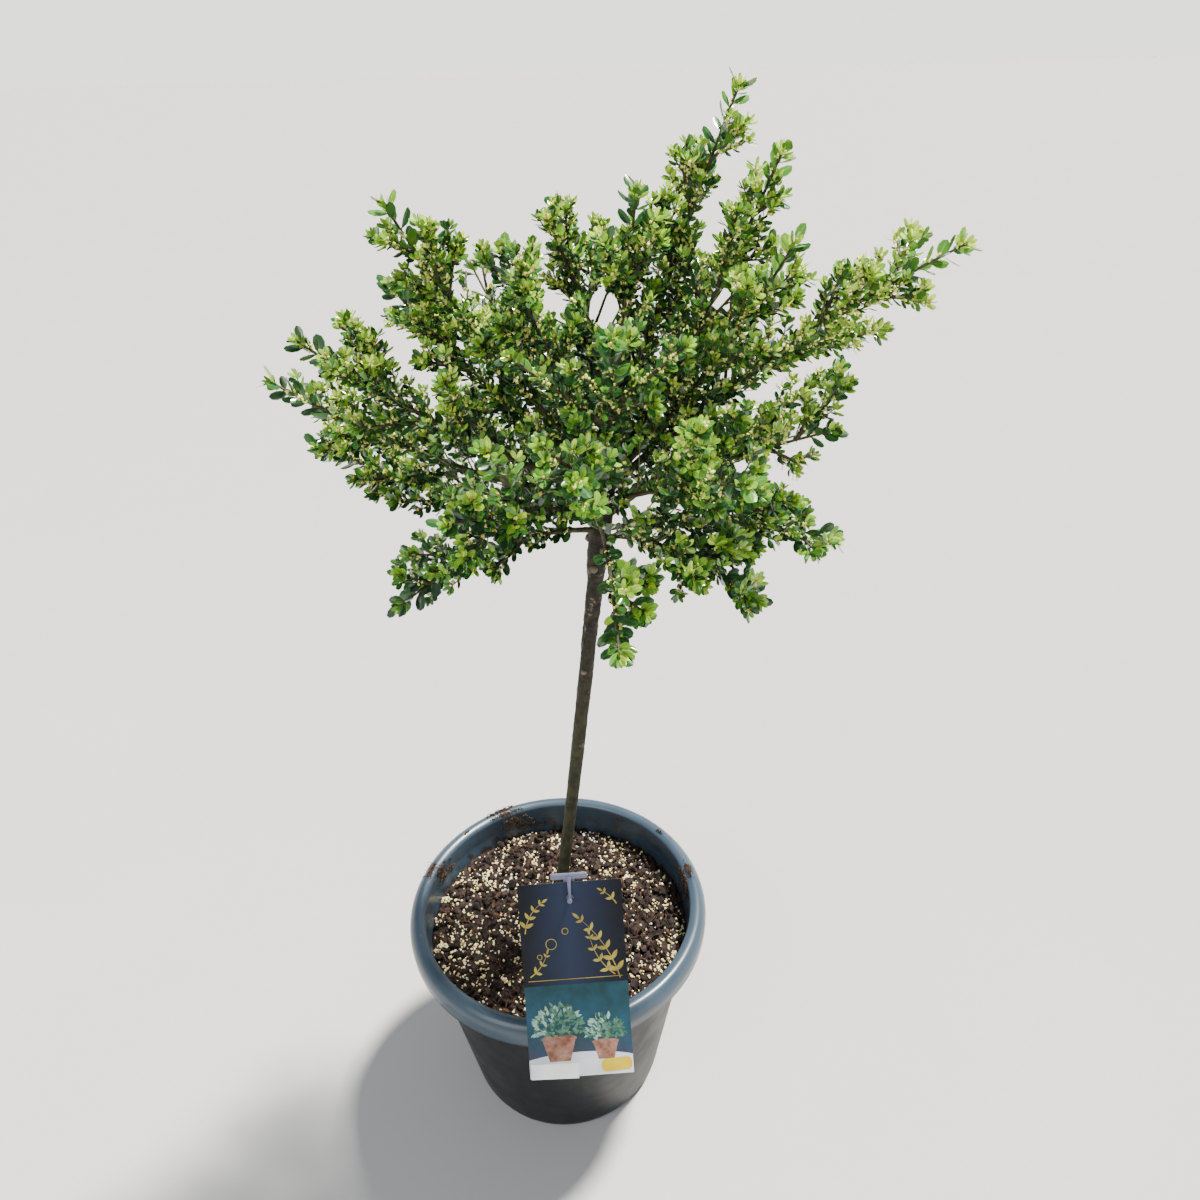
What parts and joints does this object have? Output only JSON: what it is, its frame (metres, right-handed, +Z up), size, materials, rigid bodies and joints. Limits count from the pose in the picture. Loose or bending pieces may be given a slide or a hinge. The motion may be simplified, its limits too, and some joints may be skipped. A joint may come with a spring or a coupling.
{
  "type": "potted japanese holly standard",
  "caption": "Small-leaved evergreen holly grown as a short standard, a bare grafted stem under a loose spreading crown, in a round plastic pot with a leaning plant label.",
  "frame": {"origin": "middle of the pot's flat underside, which stands on the ground", "axes": "+Z up, -Y the front, where the plant label leans on the rim, +X to the right of that view"},
  "size_m": [0.4416, 0.3802, 0.891],
  "materials": {
    "pot_plastic": "satin",
    "soil": "matte",
    "bark": "matte",
    "leaf": "satin",
    "label_card": "satin",
    "pick_plastic": "satin"
  },
  "bodies": {
    "root": {"pot": "pot_plastic", "soil": "soil", "trunk": "bark", "label": "label_card", "label_pick": "pick_plastic", "bough_top": "bark", "bough_top_right": "bark", "bough_upper_right": "bark", "bough_far_right": "bark", "bough_mid_right": "bark", "bough_low_right": "bark", "bough_low_front_right": "bark", "bough_low_front": "bark", "bough_mid_front": "bark", "bough_front_right": "bark", "bough_front_left": "bark", "bough_low_left": "bark", "bough_left_under": "bark", "bough_left": "bark", "bough_left_over": "bark", "bough_upper_left": "bark", "bough_crown_left": "bark", "bough_crown_right": "bark", "bough_upper_front": "bark", "bough_crown_back": "bark", "bough_low_back_left": "bark", "bough_low_back_right": "bark", "bough_back": "bark", "bough_upper_back_left": "bark", "bough_upper_back_right": "bark", "bough_left_high": "bark", "foliage_top": "leaf", "foliage_top_right": "leaf", "foliage_upper_right": "leaf", "foliage_far_right": "leaf", "foliage_mid_right": "leaf", "foliage_low_right": "leaf", "foliage_low_front_right": "leaf", "foliage_low_front": "leaf", "foliage_mid_front": "leaf", "foliage_front_right": "leaf", "foliage_front_left": "leaf", "foliage_low_left": "leaf", "foliage_left_under": "leaf", "foliage_left": "leaf", "foliage_left_over": "leaf", "foliage_upper_left": "leaf", "foliage_crown_left": "leaf", "foliage_crown_right": "leaf", "foliage_upper_front": "leaf", "foliage_crown_back": "leaf", "foliage_low_back_left": "leaf", "foliage_low_back_right": "leaf", "foliage_back": "leaf", "foliage_upper_back_left": "leaf", "foliage_upper_back_right": "leaf", "foliage_left_high": "leaf"}
  },
  "joints": []
}
